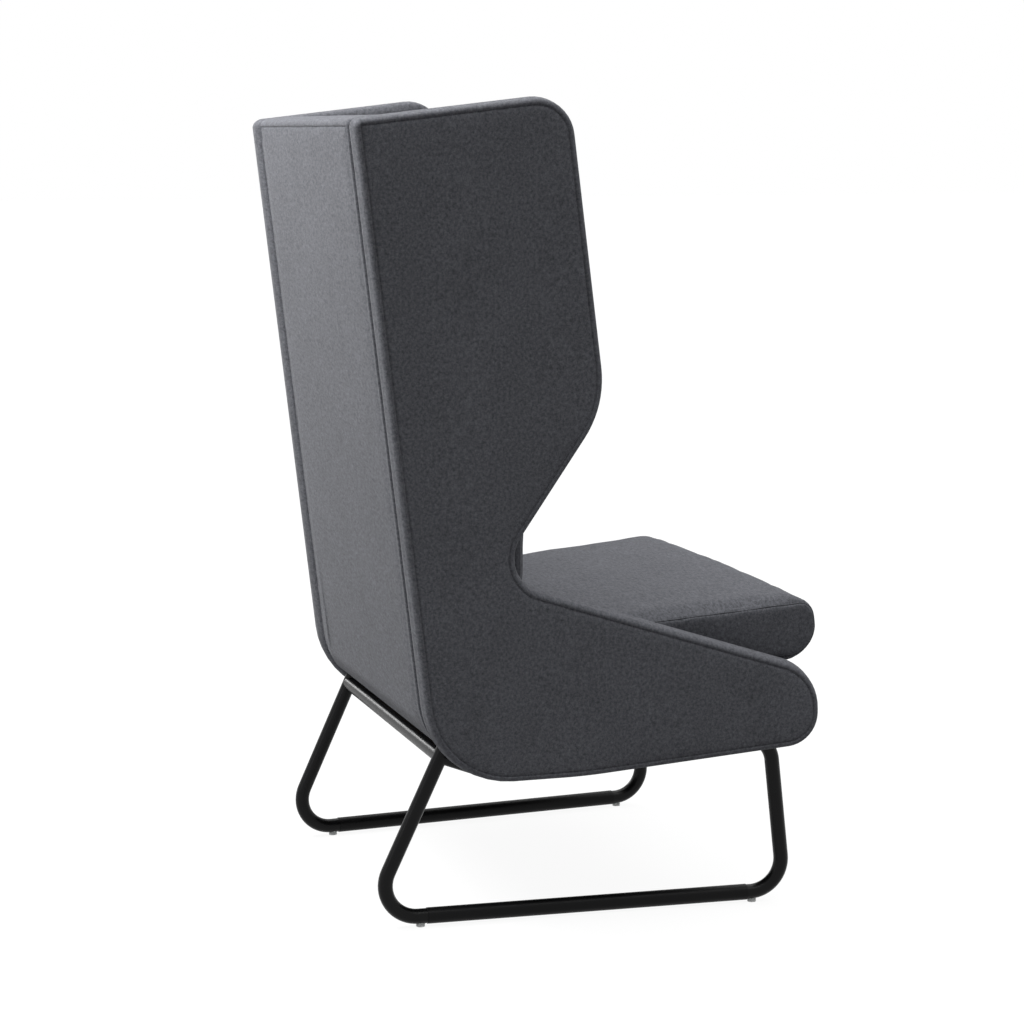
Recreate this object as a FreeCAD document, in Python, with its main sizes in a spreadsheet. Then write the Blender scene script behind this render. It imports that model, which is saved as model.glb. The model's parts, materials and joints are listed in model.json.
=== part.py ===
import FreeCAD, Part
import math
import os
import re
import Sketcher

# High back lounge chair on a sled base: two padded side panels, a back, a seat and a steel frame.
# The chair faces -Y, +Z is up, X = 0 is its middle plane and the floor is Z = 0.
# Each side, with its panel and its sled, is turned outwards by toe_angle, so the seat widens forwards.

os.makedirs("parts", exist_ok=True)
V = FreeCAD.Vector
doc = FreeCAD.newDocument("high_back_lounge_chair")
sheet = doc.addObject("Spreadsheet::Sheet", "sizes")

# Driving dimensions in millimetres and degrees, with what each one measures
SIZES = (
    ("toe_angle", 3.6, "turn of each side outwards, seen from above"),
    ("sled_rear_y", 326.0, "middle of the footprint to the rear corner of the sleds"),
    ("tube_diameter", 22.0, "round steel tube of the sleds"),
    ("tube_wall", 2.0, "wall of that tube"),
    ("sled_half_gap", 258.0, "middle plane to the tube's axis at the rear corner"),
    ("runner_length", 638.0, "rear corner to front corner of a sled"),
    ("rear_leg_angle", 24.9, "rear leg's lean from the vertical"),
    ("front_leg_angle", 6.3, "front leg's lean from the vertical"),
    ("floor_bend_radius", 48.0, "axis radius of the two bends at the floor"),
    ("top_bend_radius", 40.0, "axis radius of the bend under the seat's front"),
    ("rear_leg_height", 262.0, "floor to the top of the rear leg"),
    ("cross_tube_height", 251.0, "floor to the axis of the rear cross tube"),
    ("rail_dip_forward", 190.0, "rear corner forwards to the lowest point of the side rail"),
    ("rail_dip_height", 221.0, "floor to the rail's axis at its lowest point"),
    ("rail_bend_radius", 80.0, "axis radius of the rail's bend at the dip"),
    ("rail_joint_forward", 480.0, "rear corner forwards to the butt joint of rail and sled tube"),
    ("front_cross_reach", 370.0, "dip to the axis of the front cross tube"),
    ("glide_height", 4.0, "floor to the underside of the runner"),
    ("glide_diameter", 13.0, "clear foot under the runner"),
    ("glide_stem_diameter", 6.0, "stem of the foot in the tube's wall"),
    ("glide_stem_length", 7.0, "stem of the foot above the tube's underside"),
    ("rear_glide_forward", 79.0, "rear corner forwards to the rear foot"),
    ("front_glide_back", 51.0, "front corner backwards to the front foot"),
    ("sleeve_wall", 0.9, "plastic sleeve round the runner"),
    ("sleeve_inset", 9.5, "middle of a foot to the sleeve's end"),
    ("panel_half_width", 330.0, "middle plane to the outside of a panel at its top rear corner"),
    ("panel_thickness", 50.0, "side panel, with its padding"),
    ("panel_overhang", 27.0, "sled's rear corner back to the panel's top rear corner"),
    ("panel_height", 1158.0, "floor to the panel's top rear corner"),
    ("recline", 6.7, "lean of the back from the vertical"),
    ("wing_angle", 7.1, "lean of the wing's front edge"),
    ("chin_angle", 34.0, "lean of the edge from chin to waist"),
    ("chin_length", 293.7, "chin to waist"),
    ("waist_forward", 193.5, "panel's rear corner forwards to the waist"),
    ("waist_height", 516.6, "floor to the waist"),
    ("arm_angle", 17.6, "fall of the arm's top edge"),
    ("nose_overhang", 40.4, "timber frame's front forwards to the arm's nose"),
    ("nose_drop", 105.0, "height of the arm's nose"),
    ("belly_forward", 330.0, "panel's rear corner forwards to the lowest point of the panel"),
    ("belly_height", 226.0, "floor to the panel at that point"),
    ("heel_forward", 109.8, "panel's top rear corner forwards to its lower rear corner, before rounding"),
    ("heel_height", 223.5, "floor to that lower rear corner"),
    ("top_rear_radius", 11.0, "rounding of the panel's top rear corner"),
    ("top_front_radius", 55.0, "rounding of the wing's top front corner"),
    ("chin_radius", 146.0, "rounding of the chin"),
    ("waist_radius", 54.0, "rounding of the waist"),
    ("nose_top_radius", 70.0, "upper rounding of the arm's nose"),
    ("nose_low_radius", 47.0, "lower rounding of the arm's nose"),
    ("belly_radius", 900.0, "rounding of the panel's underside"),
    ("heel_radius", 127.0, "rounding of the panel's lower rear corner"),
    ("edge_radius", 8.0, "soft edge all round a panel"),
    ("board_thickness", 18.0, "plywood inside the panels and under the seat"),
    ("board_inset", 22.0, "panel's edge to its board's edge"),
    ("board_corner_radius", 20.0, "least rounding of a corner of the panel's board"),
    ("side_gap", 0.5, "panel to the parts held between the panels"),
    ("back_recess", 6.0, "rear face of the back in front of the panels' rear edges"),
    ("back_thickness", 62.0, "outer back, with its padding"),
    ("back_top_drop", 4.0, "panels' top rear corner down to the back's top"),
    ("back_foot_rise", 50.0, "panels' lower rear corner up to the back's lower edge, along the back"),
    ("back_top_radius", 16.0, "rolled top edge of the outer back"),
    ("back_edge_radius", 10.0, "other soft edges of the outer back"),
    ("back_board_inset", 20.0, "outer back's edge to its board's edge"),
    ("backrest_board_thickness", 9.0, "plywood behind the backrest cushion"),
    ("backrest_board_gap", 3.0, "panel to the edge of the backrest's board"),
    ("backrest_top_drop", 42.0, "panels' top rear corner down to the backrest's top"),
    ("backrest_front", 233.0, "sled's rear corner forwards to the backrest's front at the lumbar"),
    ("lumbar_height", 600.0, "floor to where the backrest begins to lean"),
    ("lumbar_radius", 260.0, "rounding of the backrest at the lumbar"),
    ("backrest_angle", 11.5, "lean of the backrest's front above the lumbar"),
    ("seat_angle", 4.6, "rise of the seat towards its front"),
    ("tab_thickness", 3.0, "steel tabs between rails and seat frame"),
    ("tab_length", 60.0, "tab along the rail"),
    ("tab_width", 40.0, "tab across the rail"),
    ("tab_outboard", 8.0, "tube's axis to the tab's outer edge"),
    ("tab_reach", 52.0, "dip forwards to the middle of the rear tabs"),
    ("tab_setback", 23.0, "front cross tube back to the middle of the front tabs"),
    ("seat_frame_height", 78.0, "timber frame under the seat board"),
    ("seat_frame_reach", 430.0, "dip forwards to the front of the timber frame"),
    ("seat_rail_width", 56.0, "timber side rail"),
    ("front_rail_thickness", 25.0, "timber front and rear rails"),
    ("rear_rail_height", 48.0, "timber rear rail, along the back"),
    ("rear_rail_rise", 99.0, "panels' lower rear corner up to the rear rail's top, along the back"),
    ("cushion_gap", 0.3, "air between a cushion and what is next to it"),
    ("cushion_thickness", 90.0, "seat cushion at its sides"),
    ("cushion_overhang", 72.0, "timber frame's front forwards to the cushion's nose"),
    ("cushion_crown", 12.0, "rise of the seat cushion's middle above its sides"),
    ("cushion_side_radius", 13.0, "rounding of the seat cushion's side edges"),
    ("cushion_lip_radius", 30.0, "rounding of the seat cushion's top front edge"),
    ("cushion_nose_radius", 52.0, "rounding of the seat cushion's front below that"),
    ("cushion_rise", 4.0, "extra height of the seat cushion at its front"),
    ("backrest_crown", 14.0, "swell of the backrest's middle beyond its sides"),
    ("backrest_side_radius", 16.0, "rounding of the backrest's side edges"),
    ("backrest_top_radius", 34.0, "rounding of the backrest's top edge"),
    ("apron_thickness", 8.0, "padded fabric over the timber front rail"),
    ("lining_thickness", 1.5, "black cloth that closes the seat frame from below"),
    ("bolt_diameter", 8.0, "bolts into the panels and the back"),
    ("bolt_head_diameter", 16.0, "head of those bolts"),
    ("bolt_head_height", 4.5, "height of that head"),
    ("bolt_tip_cover", 2.0, "wood left over a bolt's tip in a panel's board"),
    ("panel_bolt_reach", 60.0, "dip forwards to the first panel bolt"),
    ("panel_bolt_margin", 25.0, "last panel bolt to the timber front rail"),
    ("dowel_diameter", 12.0, "dowels from the back into the side panels"),
    ("dowel_grip", 15.0, "dowel's length inside each board"),
    ("dowel_margin", 140.0, "back's lower and upper edge to the nearest dowel, along the back"),
    ("back_bolt_spacing", 180.0, "back bolts, one to the next"),
    ("back_bolt_grip", 20.0, "back bolt's length inside the timber rear rail"),
)
ALIASES = {alias for alias, amount, note in SIZES}

for row, (alias, amount, note) in enumerate(SIZES, start=1):
    sheet.set(f"A{row}", note)
    sheet.set(f"B{row}", str(amount))
    sheet.setAlias(f"B{row}", alias)
doc.recompute()


def bound(formula):
    """The formula with every size's name pointing into the sheet."""
    return re.sub(r"[a-z_]+", lambda word: f"sizes.{word.group()}" if word.group() in ALIASES else word.group(),
                  formula)


def value(formula):
    return float(sheet.evalExpression(bound(formula)))


def tangent(alias):
    """Tangent of a named angle."""
    return math.tan(math.radians(value(alias)))


# Frames that the pieces are drawn in. In each one forwards is -Y, and the side is +1 at the left, -1 at the right.
SIDES = (("left", 1), ("right", -1))
X_AXIS, Z_AXIS = V(1, 0, 0), V(0, 0, 1)


def sled_frame(side):
    return FreeCAD.Placement(V(side * value("sled_half_gap"), value("sled_rear_y"), 0),
                             FreeCAD.Rotation(Z_AXIS, side * value("toe_angle")))


def panel_frame(side):
    """Origin on the floor under the panel's top rear corner, at its outer face."""
    return FreeCAD.Placement(V(side * value("panel_half_width"), value("sled_rear_y + panel_overhang"), 0),
                             FreeCAD.Rotation(Z_AXIS, side * value("toe_angle")))


def seat_frame_place():
    """Origin on the rails' axis at the dip, with Y along the seat's slope and Z square to it."""
    return FreeCAD.Placement(V(0, value("sled_rear_y - rail_dip_forward"), value("rail_dip_height")),
                             FreeCAD.Rotation(X_AXIS, -value("seat_angle")))


def back_frame():
    """Origin at the panels' lower rear corner, with Z along the back's slope and Y square to it."""
    return FreeCAD.Placement(V(0, value("sled_rear_y + panel_overhang - heel_forward"), value("heel_height")),
                             FreeCAD.Rotation(X_AXIS, -value("recline")))


SEAT = seat_frame_place()
BACK = back_frame()
SLOPE = "((panel_height - heel_height) / cos(recline))"
BACK_LENGTH = f"({SLOPE} - back_top_drop - back_foot_rise)"
ARM_REACH = "(panel_overhang + rail_dip_forward + seat_frame_reach * cos(seat_angle) + nose_overhang)"


# Small helpers for the document's objects
def new_body(name):
    body = doc.addObject("PartDesign::Body", name)
    body.Label = name
    return body


def sketch_on(body, name, role):
    sketch = body.newObject("Sketcher::SketchObject", name)
    plane = next(feature for feature in body.Origin.OriginFeatures if feature.Role == role)
    sketch.AttachmentSupport = [(plane, "")]
    sketch.MapMode = "FlatFace"
    return sketch


def draw_lines(sketch, corners, closed=True):
    """Straight lines through corners given as pairs of formulas, each corner held by two distances."""
    count = len(corners)
    points = [V(value(across), value(up), 0) for across, up in corners]
    lines = count if closed else count - 1
    for index in range(lines):
        sketch.addGeometry(Part.LineSegment(points[index], points[(index + 1) % count]), False)
    for index in range(lines if closed else lines - 1):
        sketch.addConstraint(Sketcher.Constraint("Coincident", index, 2, (index + 1) % lines, 1))
    for index, corner in enumerate(corners):
        line, end = (index, 1) if index < lines else (index - 1, 2)
        for kind, formula, amount in (("DistanceX", corner[0], points[index].x),
                                      ("DistanceY", corner[1], points[index].y)):
            name = f"{kind}_{index}"
            number = sketch.addConstraint(Sketcher.Constraint(kind, -1, 1, line, end, amount))
            sketch.renameConstraint(number, name)
            sketch.setExpression(f"Constraints.{name}", bound(formula))
    doc.recompute()
    return points


def bend_corner(sketch, points, index, formula):
    """Rounds the corner at a point of an open path with an arc of the named radius."""
    before = (points[index - 1] + points[index]) * 0.5
    after = (points[index] + points[index + 1]) * 0.5
    arc = sketch.GeometryCount
    sketch.fillet(index - 1, index, before, after, value(formula), True, True)
    number = sketch.addConstraint(Sketcher.Constraint("Radius", arc, value(formula)))
    sketch.renameConstraint(number, f"bend_{index}")
    sketch.setExpression(f"Constraints.bend_{index}", bound(formula))


def draw_circle(sketch, across, up, diameter):
    circle = sketch.addGeometry(Part.Circle(V(value(across), value(up), 0), Z_AXIS, value(diameter) / 2), False)
    rows = [("DistanceX", (-1, 1, circle, 3), across), ("DistanceY", (-1, 1, circle, 3), up),
            ("Diameter", (circle,), diameter)]
    for kind, places, formula in rows:
        name = f"{kind}_c{circle}"
        number = sketch.addConstraint(Sketcher.Constraint(kind, *places, value(formula)))
        sketch.renameConstraint(number, name)
        sketch.setExpression(f"Constraints.{name}", bound(formula))


def pad(body, sketch, length, midplane=False, backwards=False):
    feature = body.newObject("PartDesign::Pad", f"{body.Name}_pad")
    feature.Profile = sketch
    feature.setExpression("Length", bound(length))
    feature.Midplane = midplane
    feature.Reversed = backwards
    doc.recompute()
    return feature


def tube(name, corners, placement):
    """A bent round tube: an open path in the body's YZ plane, swept with a disc and hollowed with a smaller one."""
    body = new_body(name)
    path = sketch_on(body, f"{name}_path", "YZ_Plane")
    points = draw_lines(path, [corner for corner, radius in corners], closed=False)
    for index, (corner, radius) in enumerate(corners):
        if radius:
            bend_corner(path, points, index, radius)
    doc.recompute()
    for kind, diameter in (("AdditivePipe", "tube_diameter"), ("SubtractivePipe", "tube_diameter - 2 * tube_wall")):
        ring = body.newObject("Sketcher::SketchObject", f"{name}_{kind}_ring")
        ring.AttachmentSupport = [(path, "Edge1")]
        ring.MapMode = "NormalToEdge"
        ring.MapPathParameter = 0
        draw_circle(ring, "0", "0", diameter)
        pipe = body.newObject(f"PartDesign::{kind}", f"{name}_{kind}")
        pipe.Profile = ring
        pipe.Spine = (path, [])
        doc.recompute()
    body.Placement = placement
    return body


def box(name, length, width, height, placement, corner):
    """A block with sizes bound to the sheet; corner is its low corner in the frame that placement gives."""
    block = doc.addObject("Part::Box", name)
    block.setExpression("Length", bound(length))
    block.setExpression("Width", bound(width))
    block.setExpression("Height", bound(height))
    low = V(*[value(formula) for formula in corner])
    block.Placement = placement.multiply(FreeCAD.Placement(low, FreeCAD.Rotation()))
    return block


def rod(name, diameter, length, placement):
    """A cylinder along the placement's Z axis."""
    piece = doc.addObject("Part::Cylinder", name)
    piece.setExpression("Radius", bound(f"({diameter}) / 2"))
    piece.setExpression("Height", bound(length))
    piece.Placement = placement
    return piece


def fuse(name, pieces):
    joined = doc.addObject("Part::MultiFuse", name)
    joined.Shapes = pieces
    joined.Label = name
    return joined


def group(name, pieces):
    together = doc.addObject("Part::Compound", name)
    together.Links = pieces
    together.Label = name
    return together


def common(name, base, tool):
    shared = doc.addObject("Part::Common", name)
    shared.Base = base
    shared.Tool = tool
    return shared


def cut(name, base, tools):
    rest = doc.addObject("Part::Cut", name)
    rest.Base = base
    rest.Tool = tools[0] if len(tools) == 1 else group(f"{name}_tools", tools)
    rest.Label = name
    return rest


def round_edges(name, base, choose):
    """Rounds every edge for which choose gives a radius in millimetres."""
    doc.recompute()
    rounded = doc.addObject("Part::Fillet", name)
    rounded.Base = base
    radii = [(number, choose(edge)) for number, edge in enumerate(base.Shape.Edges, start=1)]
    rounded.Edges = [(number, radius, radius) for number, radius in radii if radius]
    doc.recompute()
    return rounded


def wedge(name, inset):
    """The tall space between the side panels, kept clear of each by the inset; its sides follow the toe angle."""
    body = new_body(name)
    plan = sketch_on(body, f"{name}_plan", "XY_Plane")
    inner = f"panel_half_width - panel_thickness / cos(toe_angle) - ({inset}) / cos(toe_angle)"
    rear, front = "-panel_thickness", "panel_height"
    corners = [(f"{sign}({inner} + tan(toe_angle) * ({reach}))", f"sled_rear_y + panel_overhang - ({reach})")
               for sign, reach in (("", rear), ("-", rear), ("-", front), ("", front))]
    draw_lines(plan, corners)
    pad(body, plan, "panel_height + panel_thickness")
    return body


def side_reach(y, inset):
    """Half the width between the panels at a place, kept clear of each by the inset."""
    forward = value("sled_rear_y + panel_overhang") - y
    inner = value("panel_half_width") - (value("panel_thickness") + inset) / math.cos(math.radians(value("toe_angle")))
    return inner + tangent("toe_angle") * forward


NODES = []


def node(piece, name):
    piece.Label = name
    NODES.append((name, piece))
    return piece


# Side panels: one outline, drawn once, gives the padded cover and the plywood board inside it
OUTLINE = doc.addObject("Sketcher::SketchObject", "panel_outline")
OUTLINE.Placement = FreeCAD.Placement(V(0, 0, 0), FreeCAD.Rotation(V(1, 1, 1), 120))
TOP_REAR = ("(heel_forward - (panel_height - heel_height) * tan(recline))", "panel_height")
WAIST = ("waist_forward", "waist_height")
CHIN = ("(waist_forward + chin_length * sin(chin_angle))", "(waist_height + chin_length * cos(chin_angle))")
# The wing's front edge leans back from the chin and meets a top edge square to the rear edge
CREST = f"(({CHIN[0]} - (panel_height - {TOP_REAR[0]} * tan(recline) - {CHIN[1]}) * tan(wing_angle))" \
        " / (1 + tan(recline) * tan(wing_angle)))"
TOP_FRONT = (CREST, f"panel_height + ({CREST} - {TOP_REAR[0]}) * tan(recline)")
NOSE_TOP = (ARM_REACH, f"waist_height - ({ARM_REACH} - waist_forward) * tan(arm_angle)")
NOSE_LOW = (ARM_REACH, f"{NOSE_TOP[1]} - nose_drop")
BELLY = ("belly_forward", "belly_height")
HEEL = ("heel_forward", "heel_height")
PANEL_CORNERS = (
    (TOP_REAR, "top_rear_radius"),
    (TOP_FRONT, "top_front_radius"),
    (CHIN, "chin_radius"),
    (WAIST, "waist_radius"),
    (NOSE_TOP, "nose_top_radius"),
    (NOSE_LOW, "nose_low_radius"),
    (BELLY, "belly_radius"),
    (HEEL, "heel_radius"),
)
draw_lines(OUTLINE, [(f"-({forward})", up) for (forward, up), radius in PANEL_CORNERS])


def corner_radius(edge):
    """The rounding of a straight edge across the panel, found by the corner that it stands on."""
    start, end = edge.Vertexes[0].Point, edge.Vertexes[-1].Point
    if abs(abs(end.x - start.x) - edge.Length) > 0.001:
        return 0
    for (forward, up), radius in PANEL_CORNERS:
        if abs(start.y + value(forward)) < 0.01 and abs(start.z - value(up)) < 0.01:
            return value(radius)
    return 0


def extrusion(name, profile, length, forward):
    solid = doc.addObject("Part::Extrusion", name)
    solid.Base = profile
    solid.DirMode = "Custom"
    solid.Dir = X_AXIS if forward else -X_AXIS
    solid.setExpression("LengthFwd", bound(length))
    solid.Solid = True
    return solid


def panel_form(name, side):
    """The padded panel: rounded outline, then a soft edge all round both faces."""
    block = extrusion(f"{name}_panel_block", OUTLINE, "panel_thickness", side < 0)
    outline = round_edges(f"{name}_panel_corners", block, corner_radius)
    flat = {0.0, -side * value("panel_thickness")}

    def soft(edge):
        ends = [vertex.Point.x for vertex in edge.Vertexes]
        on_face = any(abs(x - place) < 0.001 for place in flat for x in ends)
        across = abs(ends[0] - ends[-1]) > 0.001
        return value("edge_radius") if on_face and not across else 0

    form = round_edges(f"{name}_panel_form", outline, soft)
    form.Placement = panel_frame(side)
    return form


def board_radius(edge):
    """The rounding that keeps the board's outline an even inset from the panel's rounded one."""
    start, end = edge.Vertexes[0].Point, edge.Vertexes[-1].Point
    if abs(abs(end.x - start.x) - edge.Length) > 0.001:
        return 0
    corner, radius = min(PANEL_CORNERS, key=lambda item: math.hypot(start.y + value(item[0][0]),
                                                                    start.z - value(item[0][1])))
    if corner is WAIST:
        return value(radius) + value("board_inset")
    return max(value(radius) - value("board_inset"), value("board_corner_radius"))


def board_form(name, side):
    """The plywood in the panel's middle: the outline drawn in by the inset, with rounded corners."""
    inner = doc.addObject("Part::Offset2D", f"{name}_board_outline")
    inner.Source = OUTLINE
    inner.Join = 2
    inner.Fill = False
    inner.setExpression("Value", bound("-board_inset"))
    block = extrusion(f"{name}_board_block", inner, "board_thickness", side < 0)
    doc.recompute()
    form = round_edges(f"{name}_board_form", block, board_radius)
    depth = -side * value("(panel_thickness - board_thickness) / 2")
    form.Placement = panel_frame(side).multiply(FreeCAD.Placement(V(depth, 0, 0), FreeCAD.Rotation()))
    return form


def in_panel(side, depth, point, inwards=True):
    """Frame on a panel at a depth below its outer face, with Z pointing inwards, or outwards."""
    local = panel_frame(side).inverse().multVec(point)
    turn = FreeCAD.Rotation(Z_AXIS, V(-side if inwards else side, 0, 0))
    return panel_frame(side).multiply(FreeCAD.Placement(V(-side * depth, local.y, local.z), turn))


# Bolts through the timber side rails into the panels' boards, dowels from the back into the same boards
BOARD_DEPTH = "(panel_thickness - board_thickness) / 2"
FRAME_LOW = "tube_diameter / 2 + tab_thickness"
FRAME_HIGH = "tube_diameter / 2 + tab_thickness + seat_frame_height"
BOARD_HIGH = "tube_diameter / 2 + tab_thickness + seat_frame_height + board_thickness"


def panel_bolt(side, number):
    first = value("panel_bolt_reach")
    last = value("seat_frame_reach - front_rail_thickness - panel_bolt_margin")
    reach = first + number * (last - first) / 2
    place = SEAT.multVec(V(0, -reach, value(f"({FRAME_LOW} + {FRAME_HIGH}) / 2")))
    start = value("panel_thickness + side_gap + seat_rail_width")
    tip = f"({BOARD_DEPTH} + bolt_tip_cover)"
    name = f"panel_bolt_{number}_{'left' if side > 0 else 'right'}"
    head = rod(f"{name}_head", "bolt_head_diameter", "bolt_head_height", in_panel(side, start, place))
    shank = rod(f"{name}_shank", "bolt_diameter", f"panel_thickness + side_gap + seat_rail_width - {tip}",
                in_panel(side, value(tip), place))
    return fuse(name, [head, shank])


def dowel(side, number):
    """Dowel from the back's board into a panel's board, at the back's foot, middle or top."""
    first = value("back_foot_rise + dowel_margin")
    last = value(f"{SLOPE} - back_top_drop - dowel_margin")
    middle = value("back_recess + back_thickness / 2")
    place = BACK.multVec(V(0, -middle, first + number * (last - first) / 2))
    start = value("(panel_thickness + board_thickness) / 2 - dowel_grip")
    length = "(panel_thickness - board_thickness) / 2 + 2 * dowel_grip + side_gap + back_board_inset"
    return rod(f"dowel_{number}_{'left' if side > 0 else 'right'}", "dowel_diameter", length,
               in_panel(side, start, place))


def back_bolt(number):
    """Bolt square to the back, from the back's board into the timber rear rail, head behind."""
    depth = value("back_recess + (back_thickness - board_thickness) / 2")
    across = (number - 1) * value("back_bolt_spacing")
    rise = value("rear_rail_rise - rear_rail_height / 2")
    forwards = FreeCAD.Rotation(Z_AXIS, V(0, -1, 0))
    at_head = V(across, -depth + value("bolt_head_height"), rise)
    at_shank = V(across, -depth, rise)
    head = rod(f"back_bolt_{number}_head", "bolt_head_diameter", "bolt_head_height",
               BACK.multiply(FreeCAD.Placement(at_head, forwards)))
    shank = rod(f"back_bolt_{number}_shank", "bolt_diameter",
                "back_thickness - (back_thickness - board_thickness) / 2 + back_bolt_grip",
                BACK.multiply(FreeCAD.Placement(at_shank, forwards)))
    return fuse(f"back_bolt_{number}", [head, shank])


BOLTS = {name: [panel_bolt(side, number) for number in range(3)] for name, side in SIDES}
DOWELS = {name: [dowel(side, number) for number in range(3)] for name, side in SIDES}
BACK_BOLTS = [back_bolt(number) for number in range(3)]
doc.recompute()

for name, side in SIDES:
    form = panel_form(name, side)
    board = board_form(name, side)
    fixings = BOLTS[name] + DOWELS[name]
    node(cut(f"{name}_panel_cover", form, [fuse(f"{name}_panel_hollow", [board] + fixings)]), f"{name}_panel_cover")
    node(cut(f"{name}_panel_board", board, [fuse(f"{name}_board_holes", fixings)]), f"{name}_panel_board")

# Outer back: a padded box between the panels, set a little in front of their rear edges
BETWEEN = wedge("between_panels", "side_gap")
back_block = box("back_block", "panel_half_width * 3", "back_thickness", BACK_LENGTH, BACK,
                 ("-panel_half_width * 1.5", "-(back_recess + back_thickness)", "back_foot_rise"))
back_shape = common("back_shape", back_block, BETWEEN)


def back_softness(edge):
    """Large rounding at the rolled top, small at the sides and the bottom, none where it meets the backrest."""
    ends = [BACK.inverse().multVec(vertex.Point) for vertex in edge.Vertexes]
    rear = -value("back_recess")
    at_rear = all(abs(end.y - rear) < 0.01 for end in ends)
    at_top = all(abs(end.z - value(f"{SLOPE} - back_top_drop")) < 0.01 for end in ends)
    if at_rear and at_top:
        return value("back_top_radius")
    return value("back_edge_radius") if at_rear else 0


back_form = round_edges("back_form", back_shape, back_softness)
BACK_BOARD_SPACE = wedge("back_board_space", "side_gap + back_board_inset")
back_board_block = box("back_board_block", "panel_half_width * 3", "board_thickness",
                       f"{BACK_LENGTH} - 2 * back_board_inset", BACK,
                       ("-panel_half_width * 1.5", "-(back_recess + (back_thickness + board_thickness) / 2)",
                        "back_foot_rise + back_board_inset"))
back_board_form = common("back_board_form", back_board_block, BACK_BOARD_SPACE)
ALL_DOWELS = DOWELS["left"] + DOWELS["right"]
node(cut("back_cover", back_form, [fuse("back_hollow", [back_board_form] + BACK_BOLTS + ALL_DOWELS)]), "back_cover")
node(cut("back_board", back_board_form, [fuse("back_board_holes", BACK_BOLTS + ALL_DOWELS)]), "back_board")

# Board behind the backrest cushion, flat against the outer back
BACKREST_SPACE = wedge("backrest_space", "backrest_board_gap")
backrest_board_block = box("backrest_board_block", "panel_half_width * 3", "backrest_board_thickness",
                           f"{SLOPE} - backrest_top_drop - rear_rail_rise - 2 * backrest_board_gap", BACK,
                           ("-panel_half_width * 1.5",
                            "-(back_recess + back_thickness + backrest_board_thickness)",
                            "rear_rail_rise + backrest_board_gap"))
node(common("backrest_board", backrest_board_block, BACKREST_SPACE), "backrest_board")

# Timber frame under the seat, on the steel rails; the side rails' rear ends are cut under the back
side_rail_profile = new_body("side_rail_profile")
rail_sketch = sketch_on(side_rail_profile, "side_rail_sketch", "YZ_Plane")
draw_lines(rail_sketch, [
    ("-seat_frame_reach", FRAME_LOW),
    ("-seat_frame_reach", FRAME_HIGH),
    ("tab_width", FRAME_HIGH),
    ("tab_width", f"({FRAME_LOW} + {FRAME_HIGH}) / 2"),
    ("0", FRAME_LOW),
])
pad(side_rail_profile, rail_sketch, "panel_half_width * 3", midplane=True)
side_rail_profile.Placement = SEAT


def seat_place(side, reach, height, inboard):
    """Point above a steel rail's axis, moved inboard, on the seat's slope."""
    ahead = value("rail_dip_forward") + reach
    across = value("sled_half_gap") + tangent("toe_angle") * ahead - inboard
    return V(side * across, -reach, height)


RAIL_INNER = wedge("between_side_rails", "side_gap + seat_rail_width")
for name, side in SIDES:
    low = "-(panel_thickness + side_gap + seat_rail_width)" if side > 0 else "panel_thickness + side_gap"
    slab = box(f"{name}_rail_slab", "seat_rail_width", "2 * panel_height", "panel_height", panel_frame(side),
               (low, "-panel_height", "0"))
    blank = common(f"{name}_seat_rail_blank", side_rail_profile, slab)
    node(cut(f"{name}_seat_rail", blank, [fuse(f"{name}_seat_rail_holes", BOLTS[name])]), f"{name}_seat_rail")

front_rail_block = box("front_rail_block", "panel_half_width * 3", "front_rail_thickness", "seat_frame_height", SEAT,
                       ("-panel_half_width * 1.5", "-seat_frame_reach", FRAME_LOW))
node(common("front_seat_rail", front_rail_block, RAIL_INNER), "front_seat_rail")
rear_rail_block = box("rear_rail_block", "panel_half_width * 3", "front_rail_thickness", "rear_rail_height", BACK,
                      ("-panel_half_width * 1.5", "-(back_recess + back_thickness + front_rail_thickness)",
                       "rear_rail_rise - rear_rail_height"))
rear_rail_blank = common("rear_rail_blank", rear_rail_block, RAIL_INNER)
node(cut("rear_seat_rail", rear_rail_blank, BACK_BOLTS), "rear_seat_rail")

# Seat board over the timber frame, from the rear rail to the front
REAR_RAIL_FOOT = SEAT.inverse().multVec(
    BACK.multVec(V(0, -value("back_recess + back_thickness + front_rail_thickness"), value("rear_rail_rise"))))
BOARD_REAR = REAR_RAIL_FOOT.y - value("side_gap")
seat_board_block = box("seat_board_block", "panel_half_width * 3", "seat_frame_reach", "board_thickness", SEAT,
                       ("-panel_half_width * 1.5", "-seat_frame_reach", FRAME_HIGH))
seat_board_block.setExpression("Width", bound(f"seat_frame_reach + ({BOARD_REAR:.3f})"))
node(common("seat_board", seat_board_block, BETWEEN), "seat_board")

# Padded apron over the front of the timber frame and its board
apron_block = box("apron_block", "panel_half_width * 3", "apron_thickness", "seat_frame_height + board_thickness",
                  SEAT, ("-panel_half_width * 1.5", "-(seat_frame_reach + apron_thickness)", FRAME_LOW))
apron_shape = common("apron_shape", apron_block, BETWEEN)


def apron_softness(edge):
    ends = [SEAT.inverse().multVec(vertex.Point) for vertex in edge.Vertexes]
    front = -value("seat_frame_reach + apron_thickness")
    return value("apron_thickness") / 2 if all(abs(end.y - front) < 0.01 for end in ends) else 0


node(round_edges("front_apron", apron_shape, apron_softness), "front_apron")

# Cloth lining inside the lower edge of the timber frame
lining_block = box("lining_block", "panel_half_width * 3",
                   "seat_frame_reach - front_rail_thickness", "lining_thickness", SEAT,
                   ("-panel_half_width * 1.5", "-(seat_frame_reach - front_rail_thickness)",
                    "tube_diameter / 2 + tab_thickness + lining_thickness"))
node(common("underseat_lining", lining_block, RAIL_INNER), "underseat_lining")


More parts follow.
